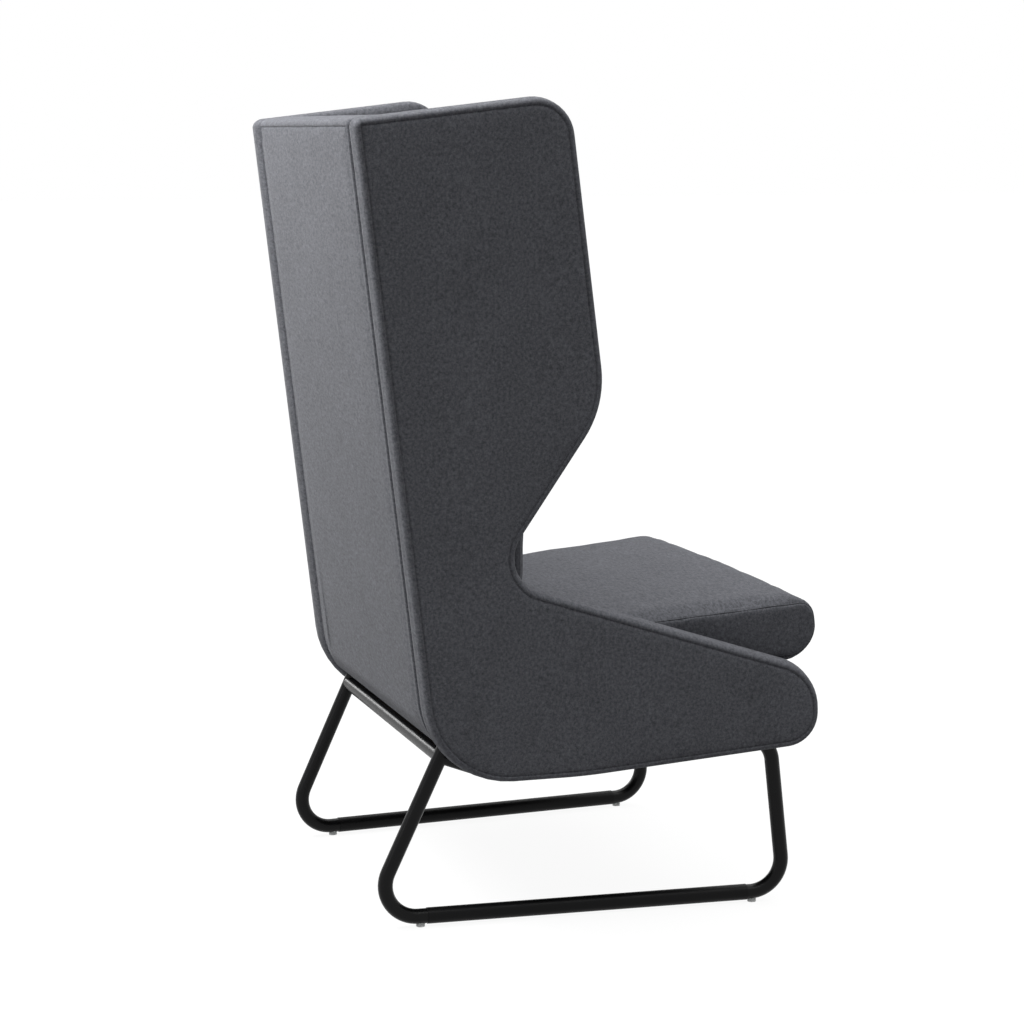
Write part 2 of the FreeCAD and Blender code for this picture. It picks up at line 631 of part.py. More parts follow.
# Cushions: closed forms lofted across the chair through rounded profiles that swell towards the middle
def rounded_wire(corners, place):
    """Wire through corners given as (forward, up, radius), rounded by tangent arcs and put in space by place."""
    count = len(corners)
    edges = []
    tangents = []
    for index, (forward, up, radius) in enumerate(corners):
        here = V(forward, up, 0)
        back = V(*corners[index - 1][:2], 0) - here
        ahead = V(*corners[(index + 1) % count][:2], 0) - here
        back.normalize()
        ahead.normalize()
        half = back.getAngle(ahead) / 2
        reach = radius / math.tan(half)
        middle = (back + ahead).normalize()
        crest = here + middle * (radius / math.sin(half) - radius)
        tangents.append((here + back * reach, crest, here + ahead * reach))
    for index, (first, crest, last) in enumerate(tangents):
        following = tangents[(index + 1) % count][0]
        edges.append(Part.Arc(place(first), place(crest), place(last)).toShape())
        edges.append(Part.LineSegment(place(last), place(following)).toShape())
    return Part.Wire(edges)


def cushion(label, profile, side_radius):
    """Ruled loft across the chair: at each side the outline draws in, towards the middle it swells to the crown."""
    wide = value("side_gap + cushion_gap")
    radius = value(side_radius)
    ends = [(wide, radius), (wide + radius / 5, radius * 2 / 5), (wide + radius, 0)]
    stations = [(1.0, clear, drawn) for clear, drawn in ends]
    stations += [(share, wide, 0) for share in (0.6, 0.0, -0.6)]
    stations += [(-1.0, clear, drawn) for clear, drawn in reversed(ends)]
    wires = []
    for share, clear, drawn in stations:
        def place(point, share=share, clear=clear):
            return V(share * side_reach(point.x, clear), point.x, point.y)
        wires.append(rounded_wire(profile(1 - share * share, drawn), place))
    feature = doc.addObject("Part::Feature", label)
    feature.Shape = Part.makeLoft(wires, True, True)
    return node(feature, label)


CUSHION_REAR = value("sled_rear_y - backrest_front - cushion_gap")


def on_board(y):
    """Point of the seat cushion's underside, on the seat's slope, at a place along the chair."""
    low = value(f"{BOARD_HIGH} + cushion_gap")
    start = SEAT.multVec(V(0, 0, low))
    return SEAT.inverse().multVec(V(0, y, start.z + (start.y - y) * tangent("seat_angle")))


def seat_profile(fullness, drawn):
    """Side view of the seat cushion in (Y, Z): full round nose, crowned top, flat underside, all drawn in."""
    low = value(f"{BOARD_HIGH} + cushion_gap")
    high = low + value("cushion_thickness")
    crown = value("cushion_crown") * (0.3 + 0.7 * fullness)
    nose = -value("seat_frame_reach + cushion_overhang") - crown / 4
    rear_low = on_board(CUSHION_REAR).y
    rear_high = rear_low - (high - low) * tangent("seat_angle")
    rise = value("cushion_rise")
    corner = value("cushion_side_radius") + 1 - drawn
    points = (
        (rear_low - drawn, low + drawn, corner),
        (nose + drawn, low + drawn, value("cushion_nose_radius") - drawn),
        (nose + drawn, high + rise + crown / 3 - drawn, value("cushion_lip_radius") - drawn),
        ((nose + rear_high) / 2, high + rise / 2 + crown - drawn, value("seat_frame_reach")),
        (rear_high - drawn, high + crown / 3 - drawn, corner),
    )
    placed = [SEAT.multVec(V(0, y, z)) for y, z, rounding in points]
    return [(place.y, place.z, rounding) for place, (y, z, rounding) in zip(placed, points)]


def backrest_profile(fullness, drawn):
    """Side view of the backrest in (Y, Z): upright at the lumbar, leaning above it, rounded at the top."""
    crown = value("backrest_crown") * fullness
    front = value("sled_rear_y - backrest_front") + drawn
    rear = -value("back_recess + back_thickness + backrest_board_thickness + cushion_gap") - drawn
    foot = BACK.multVec(V(0, rear, value("rear_rail_rise + backrest_board_gap")))
    top = BACK.multVec(V(0, rear, value(f"{SLOPE} - backrest_top_drop") - drawn))
    rest = SEAT.multVec(on_board(value("sled_rear_y - backrest_front"))).z
    lumbar = value("lumbar_height")
    head = top.z + crown / 3
    corner = value("backrest_side_radius") + 1 - drawn
    return [
        (foot.y, foot.z + drawn, corner),
        (front, rest + value("cushion_gap") + drawn, corner),
        (front, lumbar, value("lumbar_radius")),
        (front + tangent("backrest_angle") * (head - lumbar) - crown, head, value("backrest_top_radius") - drawn),
        (top.y, head, corner),
    ]


cushion("seat_cushion", seat_profile, "cushion_side_radius")
cushion("backrest_cushion", backrest_profile, "backrest_side_radius")

# Steel sled: one bent tube a side, a rail that closes it under the seat, and two cross tubes
RUNNER_HEIGHT = "glide_height + tube_diameter / 2"
REAR_LEG = "(({height}) - (" + RUNNER_HEIGHT + ")) * tan(rear_leg_angle)"
RAIL_SLOPE = "tan(seat_angle)"
FRONT_AT_DIP = "runner_length - tan(front_leg_angle) * (rail_dip_height - (" + RUNNER_HEIGHT + "))"
TOP_FORWARD = (f"rail_dip_forward + (({FRONT_AT_DIP}) - rail_dip_forward) / "
               f"(1 + tan(front_leg_angle) * {RAIL_SLOPE})")


def rail_height(forward):
    return f"rail_dip_height + {RAIL_SLOPE} * (({forward}) - rail_dip_forward)"


# Corners of the bent tubes, each with the radius of its bend; the ends have none
SLED_PATH = (
    ((f"-({REAR_LEG.format(height='rear_leg_height')})", "rear_leg_height"), None),
    (("0", RUNNER_HEIGHT), "floor_bend_radius"),
    (("-runner_length", RUNNER_HEIGHT), "floor_bend_radius"),
    ((f"-({TOP_FORWARD})", rail_height(TOP_FORWARD)), "top_bend_radius"),
    (("-rail_joint_forward", rail_height("rail_joint_forward")), None),
)
RAIL_PATH = (
    (("-rail_joint_forward", rail_height("rail_joint_forward")), None),
    (("-rail_dip_forward", "rail_dip_height"), "rail_bend_radius"),
    ((f"-({REAR_LEG.format(height='cross_tube_height')})", "cross_tube_height"), None),
)


def on_runner(side, forward, height, turn):
    return sled_frame(side).multiply(FreeCAD.Placement(V(0, -forward, height), turn))


GLIDE_PLACES = {"rear": value("rear_glide_forward"), "front": value("runner_length - front_glide_back")}
UPRIGHT = FreeCAD.Rotation()
FORWARDS = FreeCAD.Rotation(Z_AXIS, V(0, -1, 0))
SLED_SOLIDS, RAILS = {}, {}
for name, side in SIDES:
    sled = tube(f"{name}_sled_blank", SLED_PATH, sled_frame(side))
    leg_length = f"(cross_tube_height - ({RUNNER_HEIGHT})) / cos(rear_leg_angle)"
    leg_core = rod(f"{name}_leg_core", "tube_diameter", f"({leg_length}) * 1.2",
                   on_runner(side, 0, value(RUNNER_HEIGHT), FreeCAD.Rotation(X_AXIS, value("rear_leg_angle"))))
    rail = tube(f"{name}_rail_blank", RAIL_PATH, sled_frame(side))
    SLED_SOLIDS[name] = (sled, leg_core)
    RAILS[name] = rail
    node(cut(f"{name}_side_rail", rail, [leg_core]), f"{name}_side_rail")

    stems = []
    for end, forward in GLIDE_PLACES.items():
        pad_rod = rod(f"glide_{end}_{name}_pad", "glide_diameter", "glide_height + tube_diameter / 8",
                      on_runner(side, forward, 0, UPRIGHT))
        stem = rod(f"glide_{end}_{name}_stem", "glide_stem_diameter", "glide_height + glide_stem_length",
                   on_runner(side, forward, 0, UPRIGHT))
        stems.append(stem)
        body_of_tube = rod(f"glide_{end}_{name}_seat", "tube_diameter", "4 * glide_diameter",
                           on_runner(side, forward - 2 * value("glide_diameter"), value(RUNNER_HEIGHT), FORWARDS))
        foot = cut(f"glide_{end}_{name}_foot", pad_rod, [body_of_tube])
        node(fuse(f"{end}_{name}_glide", [foot, stem]), f"{end}_{name}_glide")
    node(cut(f"{name}_sled_tube", sled, stems), f"{name}_sled_tube")

    first = GLIDE_PLACES["rear"] + value("sleeve_inset")
    sleeve_length = "runner_length - front_glide_back - rear_glide_forward - 2 * sleeve_inset"
    outer = rod(f"{name}_sleeve_outer", "tube_diameter + 2 * sleeve_wall", sleeve_length,
                on_runner(side, first, value(RUNNER_HEIGHT), FORWARDS))
    bore = rod(f"{name}_sleeve_bore", "tube_diameter", sleeve_length,
               on_runner(side, first, value(RUNNER_HEIGHT), FORWARDS))
    node(cut(f"{name}_runner_sleeve", outer, [bore]), f"{name}_runner_sleeve")


def cross_tube(name, place, cutters):
    """Tube across the chair, coped against what it meets at each end."""
    half = side_reach(place.y, 0)
    start = FreeCAD.Placement(V(-half, place.y, place.z), FreeCAD.Rotation(Z_AXIS, X_AXIS))
    outer = rod(f"{name}_outer", "tube_diameter", str(round(2 * half, 3)), start)
    bore = rod(f"{name}_bore", "tube_diameter - 2 * tube_wall", str(round(2 * half, 3)), start)
    hollow = cut(f"{name}_hollow", outer, [bore])
    doc.recompute()
    coped = cut(f"{name}_coped", hollow, cutters)
    doc.recompute()
    middle = max(coped.Shape.Solids, key=lambda solid: solid.Volume)
    feature = doc.addObject("Part::Feature", name)
    feature.Shape = middle
    return node(feature, name)


REAR_CROSS = V(0, value(f"sled_rear_y - cos(toe_angle) * {REAR_LEG.format(height='cross_tube_height')}"),
               value("cross_tube_height"))
FRONT_CROSS = SEAT.multVec(V(0, -value("front_cross_reach"), 0))
front_cutters = [rod(f"{name}_rail_core", "tube_diameter", "2 * front_cross_reach",
                     FreeCAD.Placement(SEAT.multVec(seat_place(side, 0, 0, 0)),
                                       FreeCAD.Rotation(Z_AXIS, SEAT.Rotation.multVec(
                                           V(side * tangent("toe_angle"), -1, 0)))))
                 for name, side in SIDES]
cross_tube("rear_cross_tube", REAR_CROSS, [SLED_SOLIDS["left"][1], SLED_SOLIDS["right"][1]])
cross_tube("front_cross_tube", FRONT_CROSS, front_cutters)

# Tabs welded on the rails, with the timber frame on them
for name, side in SIDES:
    plates = []
    for number in range(2):
        reach = value("front_cross_reach - tab_setback" if number else "tab_reach")
        place = seat_place(side, reach, value("tube_diameter / 2"), 0)
        turned = SEAT.multiply(FreeCAD.Placement(place, FreeCAD.Rotation(Z_AXIS, side * value("toe_angle"))))
        low = "-(tab_width - tab_outboard)" if side > 0 else "-tab_outboard"
        plate = box(f"{name}_tab_{number}_blank", "tab_width", "tab_length", "tab_thickness", turned,
                    (low, "-tab_length / 2", "0"))
        plates.append(plate)
    node(group(f"{name}_frame_tabs", plates), f"{name}_frame_tabs")

# Fixings, one node for each kind
node(group("panel_bolts", BOLTS["left"] + BOLTS["right"]), "panel_bolts")
node(group("back_dowels", ALL_DOWELS), "back_dowels")
node(group("back_bolts", BACK_BOLTS), "back_bolts")
doc.recompute()

# Everything is checked before anything is written
faulty = [item.Name for item in doc.Objects if "Invalid" in item.State or "Error" in item.State]
if faulty:
    raise SystemExit(f"failed objects: {faulty}")
for name, piece in NODES:
    if piece.Shape.isNull() or not piece.Shape.isValid():
        raise SystemExit(f"bad shape: {name}")
whole = FreeCAD.BoundBox()
for name, piece in NODES:
    piece.Shape.exportStep(f"parts/{name}.step")
    whole.add(piece.Shape.optimalBoundingBox(False))
    print(name, len(piece.Shape.Solids), "solids", round(piece.Shape.Volume / 1000, 1), "cm3")
print("box", [round(low, 1) for low in (whole.XMin, whole.YMin, whole.ZMin)],
      [round(high, 1) for high in (whole.XMax, whole.YMax, whole.ZMax)])
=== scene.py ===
# %% [markdown]
# # A high back lounge chair in wool felt
# The chair stands on two bent steel sleds. Tall padded side panels carry the back, the seat and two cushions.
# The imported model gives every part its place. This notebook dresses it: soft forms, finishes, light and camera.
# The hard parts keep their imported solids, because they already have the real shape. Only what is padded or sewn is
# made anew, because felt over foam has swollen faces, rolled edges and seams.

# %% Load the frame
import json
import math
import bmesh
import bpy
from mathutils import Matrix, Vector


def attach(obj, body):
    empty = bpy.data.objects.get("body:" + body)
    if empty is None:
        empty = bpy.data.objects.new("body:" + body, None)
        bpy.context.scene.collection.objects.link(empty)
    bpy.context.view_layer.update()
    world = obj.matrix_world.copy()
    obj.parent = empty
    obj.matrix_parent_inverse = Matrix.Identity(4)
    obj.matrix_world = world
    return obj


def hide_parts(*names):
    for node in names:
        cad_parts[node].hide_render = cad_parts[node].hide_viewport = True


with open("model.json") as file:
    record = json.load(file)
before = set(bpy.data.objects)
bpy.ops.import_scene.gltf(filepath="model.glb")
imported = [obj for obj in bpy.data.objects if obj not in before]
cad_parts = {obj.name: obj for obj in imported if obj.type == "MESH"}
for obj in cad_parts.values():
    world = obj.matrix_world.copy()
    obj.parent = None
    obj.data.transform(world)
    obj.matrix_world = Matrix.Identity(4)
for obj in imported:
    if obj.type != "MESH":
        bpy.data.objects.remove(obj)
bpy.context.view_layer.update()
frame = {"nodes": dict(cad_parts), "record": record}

NODES = frame["nodes"]
print(len(NODES), "parts in the frame")

# %% [markdown]
# ## Sizes that the soft forms share
# All lengths are in metres. The chair faces -Y and its middle plane is X = 0. Each side panel is turned outwards
# by the toe angle about an upright line through its top rear corner. Cushions and back have to fit between the
# panels, so one function gives the room between them at any place. Typing each width would soon leave gaps.

# %% Shared sizes
MM = 0.001
TOE = math.radians(3.6)
RECLINE = math.radians(6.7)
SEAT_ANGLE = math.radians(4.6)
SLED_REAR_Y = 326 * MM
PANEL_REAR_Y = SLED_REAR_Y + 27 * MM
PANEL_HALF_WIDTH = 330 * MM
PANEL_THICKNESS = 50 * MM
PANEL_HEIGHT = 1158 * MM
HEEL_FORWARD, HEEL_HEIGHT, HEEL_RADIUS = 109.8 * MM, 223.5 * MM, 127 * MM
SMALLEST_RADIUS = 1.5 * MM
SIDES = (("left", 1), ("right", -1))


def side_reach(y, clear=0.0):
    """Half the width between the panels at a place along the chair, less a clearance."""
    inner = PANEL_HALF_WIDTH - (PANEL_THICKNESS + clear) / math.cos(TOE)
    return inner + math.tan(TOE) * (PANEL_REAR_Y - y)


print("half width between the panels at the middle:", round(side_reach(0.0), 3))

# %% [markdown]
# ## Closed outlines with rounded corners
# A panel is drawn as a polygon whose corners have their own radius. A bevel modifier would round the edge too, but
# it can't press a seam into the felt. So the polygon is moved inwards step by step, and each step gives a ring.

# %% Outlines
def four_corners(halves, ends, radius):
    """Corners of a strip that is as wide as its half width says at each of its two ends."""
    (first_half, second_half), (first, second) = halves, ends
    return [(first_half, first, radius), (second_half, second, radius), (-second_half, second, radius),
            (-first_half, first, radius)]


def moved_inwards(corners, inset):
    """Corners (a, b, radius) moved inwards along both their edges; rounded corners keep their centre."""
    count = len(corners)
    points = [Vector(corner[:2]) for corner in corners]
    turns = sum(points[i - 1].x * points[i].y - points[i].x * points[i - 1].y for i in range(count))
    sign = 1 if turns > 0 else -1
    moved = []
    for index, point in enumerate(points):
        before = (point - points[index - 1]).normalized()
        after = (points[(index + 1) % count] - point).normalized()
        first = Vector((-before.y, before.x)) * sign
        second = Vector((-after.y, after.x)) * sign
        place = point + (first + second) * (inset / (1 + first.dot(second)))
        convex = (before.x * after.y - before.y * after.x) * sign > 0
        radius = max(corners[index][2] + (-inset if convex else inset), SMALLEST_RADIUS)
        moved.append((place.x, place.y, radius))
    return moved


def rounded(corners, arc_steps=10, line_step=0.012, line_counts=None):
    """Points along an outline, as many on each stretch as line_counts says, and those counts."""
    count = len(corners)
    points = [Vector(corner[:2]) for corner in corners]
    arcs = []
    for index, point in enumerate(points):
        back = (points[index - 1] - point).normalized()
        ahead = (points[(index + 1) % count] - point).normalized()
        half = back.angle(ahead) / 2
        radius = corners[index][2]
        centre = point + (back + ahead).normalized() * (radius / math.sin(half))
        start = point + back * (radius / math.tan(half)) - centre
        end = point + ahead * (radius / math.tan(half)) - centre
        sweep = math.atan2(start.x * end.y - start.y * end.x, start.dot(end))
        arcs.append([centre + Matrix.Rotation(sweep * step / arc_steps, 2) @ start
                     for step in range(arc_steps + 1)])
    if line_counts is None:
        lengths = [(arcs[(i + 1) % count][0] - arcs[i][-1]).length for i in range(count)]
        line_counts = [max(2, round(length / line_step)) for length in lengths]
    outline = []
    for index, arc in enumerate(arcs):
        outline += arc
        target = arcs[(index + 1) % count][0]
        steps = line_counts[index]
        outline += [arc[-1].lerp(target, step / steps) for step in range(1, steps)]
    return outline, line_counts


print("outline tools ready")

# %% [markdown]
# ### Soft edges
# Seen in section, the felt swells over the face, dips into the seam, rolls round the edge and runs over to the other
# face. Each ring holds how far inside the outline it lies and how deep below the face.

# %% Soft edges
SWELL = ((1, 1), (0.66, 0.85), (0.42, 0.5), (0.24, 0.1))


def half_edge(thickness, proud, seam, roll, puff, groove, swell_width):
    """(inset, depth) of the rings from a swollen face over its seam and roll to the middle of the edge."""
    rings = [(seam + swell_width * reach, -puff * share) for reach, share in SWELL]
    rings += [(seam + 2.6 * MM, 0.3 * MM), (seam + 1.4 * MM, 0.45 * groove), (seam + 0.4 * MM, groove),
              (seam - 0.4 * MM, groove), (seam - 1.4 * MM, 0.4 * groove)]
    start, low = seam - 2.2 * MM, 0.4 * MM
    shoulder = -proud * 0.45
    for step in range(9):
        angle = math.radians(11.25 * step)
        rings.append((shoulder + (start - shoulder) * (1 - math.sin(angle)),
                      low + (roll - low) * (1 - math.cos(angle))))
    for share in (0.45, 0.8):
        rise = math.sin(math.radians(90 * share))
        rings.append((shoulder - (proud + shoulder) * rise, roll + (thickness / 2 - roll) * share))
    return rings


def edge_rings(thickness, near, far, proud):
    """Rings of a whole panel; near and far give its faces' seam, roll, puff, groove and swell width in mm."""
    first = half_edge(thickness, proud, *[size * MM for size in near])
    last = half_edge(thickness, proud, *[size * MM for size in far])
    return first + [(-proud, thickness / 2)] + [(inset, thickness - depth) for inset, depth in reversed(last)]


def ringed_form(name, corners, rings, place):
    """Closed mesh through one outline per ring; place(a, b, depth) puts a point in space."""
    counts = None
    mesh = bmesh.new()
    loops = []
    for inset, depth in rings:
        outline, counts = rounded(moved_inwards(corners, inset), line_counts=counts)
        loops.append([mesh.verts.new(place(point.x, point.y, depth)) for point in outline])
    for first, second in zip(loops, loops[1:]):
        for index in range(len(first)):
            after = (index + 1) % len(first)
            mesh.faces.new((first[index], first[after], second[after], second[index]))
    for loop in (loops[0], loops[-1]):
        mesh.faces.new(loop)
    bmesh.ops.recalc_face_normals(mesh, faces=mesh.faces)
    data = bpy.data.meshes.new(name)
    mesh.to_mesh(data)
    mesh.free()
    data.shade_smooth()
    piece = bpy.data.objects.new(name, data)
    bpy.context.scene.collection.objects.link(piece)
    return piece


print(len(SWELL), "rings from the face to its seam")

# %% [markdown]
# ## Finishes
# Each finish is built from procedural noise in real millimetres, because it has no seams and fits any shape. One
# function turns a hex colour into linear light, and one adds a shader node with its settings and links.

# %% Shader helpers
def linear(code, alpha=1.0):
    """Linear colour of an sRGB hex code."""
    parts = [int(code[i:i + 2], 16) / 255 for i in (1, 3, 5)]
    return (*[part / 12.92 if part <= 0.04045 else ((part + 0.055) / 1.055) ** 2.4 for part in parts], alpha)


def add(tree, kind, inputs=None, **settings):
    """New node of a kind; inputs maps a socket's name or number to a value or to another node's output."""
    node = tree.nodes.new(kind)
    for key, amount in settings.items():
        setattr(node, key, amount)
    for key, amount in (inputs or {}).items():
        if isinstance(amount, bpy.types.NodeSocket):
            tree.links.new(amount, node.inputs[key])
        else:
            node.inputs[key].default_value = amount
    return node


def new_material(name, code):
    """Material with an empty tree, its output node and the place of each point in metres."""
    material = bpy.data.materials.new(name)
    material.use_nodes = True
    material.diffuse_color = linear(code)
    tree = material.node_tree
    tree.nodes.clear()
    output = add(tree, "ShaderNodeOutputMaterial")
    place = add(tree, "ShaderNodeTexCoord").outputs["Object"]
    return material, tree, output, place


def speckle(tree, place, size_mm, detail=2.0, roughness=0.5):
    """Noise whose features measure about size_mm."""
    return add(tree, "ShaderNodeTexNoise", {"Vector": place, "Scale": 1 / (size_mm * MM), "Detail": detail,
                                            "Roughness": roughness}).outputs["Fac"]


def spread(tree, fac, low, high, in_low=0.3, in_high=0.7):
    """Maps the middle of a noise to the span from low to high."""
    return add(tree, "ShaderNodeMapRange", {"Value": fac, "From Min": in_low, "From Max": in_high,
                                            "To Min": low, "To Max": high}).outputs["Result"]


def tinted(tree, code, factor):
    """Colour scaled by a factor."""
    mix = add(tree, "ShaderNodeVectorMath", {0: linear(code)[:3], 1: (1, 1, 1)}, operation="MULTIPLY")
    grey = add(tree, "ShaderNodeCombineXYZ", {"X": factor, "Y": factor, "Z": factor})
    tree.links.new(grey.outputs["Vector"], mix.inputs[1])
    return mix.outputs["Vector"]


def times(tree, first, second):
    return add(tree, "ShaderNodeMath", {0: first, 1: second}, operation="MULTIPLY").outputs["Value"]


print("shader helpers ready")

# %% [markdown]
# ### Wool felt
# Wool felt is pressed from dyed fibres, here a dark grey melange: light and dark flecks a few millimetres long that
# lie mostly level, with a soft nap. It is matt, with a pale bloom at grazing light, which sheen gives. Real fibres
# are finer than a pixel, so the fleck is drawn 4 mm long, as coarse as it has to be to show.

# %% Felt
def felt(name="wool_felt", code="#5d5e63"):
    material, tree, output, place = new_material(name, code)
    combed = add(tree, "ShaderNodeMapping", {"Vector": place, "Scale": (0.45, 1.0, 1.0)}).outputs["Vector"]
    fleck = spread(tree, speckle(tree, combed, 4.2, 4.0, 0.72), 0.58, 1.44)
    fibre = spread(tree, speckle(tree, place, 1.6, 2.0, 0.7), 0.8, 1.22)
    drift = spread(tree, speckle(tree, place, 90, 1.0), 0.96, 1.05)
    colour = tinted(tree, code, times(tree, times(tree, fleck, fibre), drift))
    nap = speckle(tree, place, 0.9, 3.0, 0.7)
    pill = speckle(tree, place, 6.0, 2.0, 0.5)
    fine = add(tree, "ShaderNodeBump", {"Strength": 0.55, "Distance": 0.35 * MM, "Height": nap})
    coarse = add(tree, "ShaderNodeBump", {"Strength": 0.5, "Distance": 0.5 * MM, "Height": pill,
                                          "Normal": fine.outputs["Normal"]})
    surface = add(tree, "ShaderNodeBsdfPrincipled", {
        "Base Color": colour, "Normal": coarse.outputs["Normal"], "Roughness": 0.95,
        "Specular IOR Level": 0.15, "Sheen Weight": 0.22, "Sheen Roughness": 0.45,
        "Sheen Tint": linear("#c9cacd")})
    tree.links.new(surface.outputs["BSDF"], output.inputs["Surface"])
    return material


FELT = felt()
# The darker felt is painted shade: it colours the cords laid in the cushions' seam grooves.
SEAM_SHADE_FELT = felt("felt_seam_shade", "#2a2b2e")
print("felt:", len(FELT.node_tree.nodes), "nodes")

# %% [markdown]
# ### Steel, plastic and wood
# Powder coat is baked on and keeps a fine orange peel, so it has a soft gloss with a small bump. The sleeves are
# black polyethylene, a little duller, and the feet are moulded from milky nylon that lets some light through.
# Plywood and beech are bare inside the chair: noise stretched along the grain gives their lines.

# %% Hard finishes
def coated(name, code, roughness, specular, peel_mm, peel_height_mm, metallic=0.0, transmission=0.0):
    """Smooth hard finish with a fine surface texture."""
    material, tree, output, place = new_material(name, code)
    peel = speckle(tree, place, peel_mm, 2.0)
    bump = add(tree, "ShaderNodeBump", {"Strength": 0.5, "Distance": peel_height_mm * MM, "Height": peel})
    surface = add(tree, "ShaderNodeBsdfPrincipled", {
        "Base Color": tinted(tree, code, spread(tree, speckle(tree, place, 25, 2.0), 0.94, 1.06)),
        "Roughness": spread(tree, speckle(tree, place, 12, 2.0), roughness - 0.03, roughness + 0.03),
        "Specular IOR Level": specular, "Metallic": metallic, "Transmission Weight": transmission,
        "Normal": bump.outputs["Normal"]})
    tree.links.new(surface.outputs["BSDF"], output.inputs["Surface"])
    return material


def grained(name, code, along, ring_mm):
    """Wood with its grain stretched along one axis."""
    material, tree, output, place = new_material(name, code)
    stretch = [1.0, 1.0, 1.0]
    stretch[along] = 0.06
    bent = add(tree, "ShaderNodeMapping", {"Vector": place, "Scale": tuple(stretch)}).outputs["Vector"]
    grain = spread(tree, speckle(tree, bent, ring_mm, 4.0, 0.6), 0.82, 1.12)
    pores = spread(tree, speckle(tree, bent, 0.8, 2.0, 0.6), 0.93, 1.05)
    surface = add(tree, "ShaderNodeBsdfPrincipled", {
        "Base Color": tinted(tree, code, times(tree, grain, pores)), "Roughness": 0.6, "Specular IOR Level": 0.3})
    tree.links.new(surface.outputs["BSDF"], output.inputs["Surface"])
    return material


FINISHES = {
    "frame_coat": coated("black_powder_coat", "#0c0c0d", 0.3, 0.14, 0.7, 0.03),
    "sleeve": coated("black_polyethylene", "#0b0b0c", 0.4, 0.12, 2.5, 0.03),
    "glide": coated("milky_nylon", "#dcdedd", 0.35, 0.5, 3.0, 0.02, transmission=0.3),
    "fixing_steel": coated("zinc_plated_steel", "#a9abad", 0.4, 0.5, 1.5, 0.03, metallic=1.0),
    "plywood": grained("birch_plywood", "#c9ab7c", 2, 6.0),
    "timber": grained("planed_beech", "#bd9468", 1, 4.0),
    "lining": felt("black_lining_cloth", "#161617"),
    "felt": FELT,
}
print(len(FINISHES), "finishes")

# %% [markdown]
# ### Finishes on the frame's parts
# Every part of the frame takes the finish that its record names, so a part can't end up in the wrong one. Edges
# sharper than 32 degrees stay crisp and the bends of the tubes are shaded smooth.

# %% Dress the frame
SLOT_OF = {part["node"]: part["material_slot"] for part in frame["record"]["subparts"]}
for name, part in NODES.items():
    part.data.materials.clear()
    part.data.materials.append(FINISHES[SLOT_OF[name]])
    part.data.shade_smooth()
    part.data.set_sharp_from_angle(angle=math.radians(32))
print({slot: list(SLOT_OF.values()).count(slot) for slot in FINISHES})


# %% [markdown]
# ## Side panels
# Each side of the chair is one padded panel: wing, chin, waist, arm and nose lie in one outline. The felt is sewn
# from two faces and an edge band, and a plain seam runs round just inside the rolled edge. The panel is made of
# rings, because a sculpted block would never give such an even seam.

# %% Side panels
def crossing(point, angle, other, other_angle):
    """Where a line that leans from the upright meets one that rises at an angle from the level."""
    slope, lean = math.tan(other_angle), math.tan(angle)
    forward = (point[0] - (other[1] - other[0] * slope - point[1]) * lean) / (1 + slope * lean)
    return forward, other[1] + (forward - other[0]) * slope


NOSE_ANGLE, NOSE_HEIGHT, NOSE_INSET = math.radians(17.6), 105 * MM, 2 * MM


def panel_corners():
    """The panel's corners as (forward, up, radius) from the foot of its top rear corner."""
    waist = (193.5 * MM, 516.6 * MM)
    chin_angle, chin_length = math.radians(34), 293.7 * MM
    chin = (waist[0] + chin_length * math.sin(chin_angle), waist[1] + chin_length * math.cos(chin_angle))
    top_rear = (HEEL_FORWARD - (PANEL_HEIGHT - HEEL_HEIGHT) * math.tan(RECLINE), PANEL_HEIGHT)
    top_front = crossing(chin, math.radians(7.1), top_rear, RECLINE)
    reach = (27 + 190 + 430 * math.cos(SEAT_ANGLE) + 40.4) * MM
    nose_top = waist[1] - (reach - waist[0]) * math.tan(NOSE_ANGLE)
    return [
        (*top_rear, 11 * MM), (*top_front, 55 * MM), (*chin, 146 * MM), (*waist, 54 * MM),
        (reach - NOSE_INSET, nose_top, 74 * MM), (reach - NOSE_INSET, nose_top - NOSE_HEIGHT, 48 * MM),
        (330 * MM, 226 * MM, 900 * MM), (HEEL_FORWARD, HEEL_HEIGHT, HEEL_RADIUS),
    ]


def on_panel(side):
    """Function that puts (forward, up, depth) on a panel into space."""
    corner = Matrix.Translation((side * PANEL_HALF_WIDTH, PANEL_REAR_Y, 0))
    turned = corner @ Matrix.Rotation(side * TOE, 4, "Z")

    def place(forward, up, depth):
        return turned @ Vector((-side * depth, -forward, up))
    return place


def keep(piece, *nodes, finish="felt", fill=None):
    """Puts a finished piece on the frame in place of its plain solids."""
    piece.data.materials.clear()
    piece.data.materials.append(FINISHES[finish])
    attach(piece, "root")
    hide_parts(*nodes)
    return piece


OUTER_FACE, INNER_FACE = (8.5, 13, 1.2, 2.6, 28), (27, 14, 0, 1.4, 12)
PANEL_PROUD = 3.2 * MM
PANEL_RINGS = edge_rings(PANEL_THICKNESS, OUTER_FACE, INNER_FACE, PANEL_PROUD)
for side_name, side in SIDES:
    panel = ringed_form(f"{side_name}_padded_panel", panel_corners(), PANEL_RINGS, on_panel(side))
    keep(panel, f"{side_name}_panel_cover", fill=0.95)
    print(panel.name, len(panel.data.vertices), "points")

# %% [markdown]
# ## Outer back
# The back sits between the panels, almost flush with their rear edges, with a rolled top and one seam below it. Its
# foot follows the panels' round heels. It is made of the same rings as the panels, and the place of each point adds
# the lean, the toe and the bend, which is simpler than bending a finished mesh.

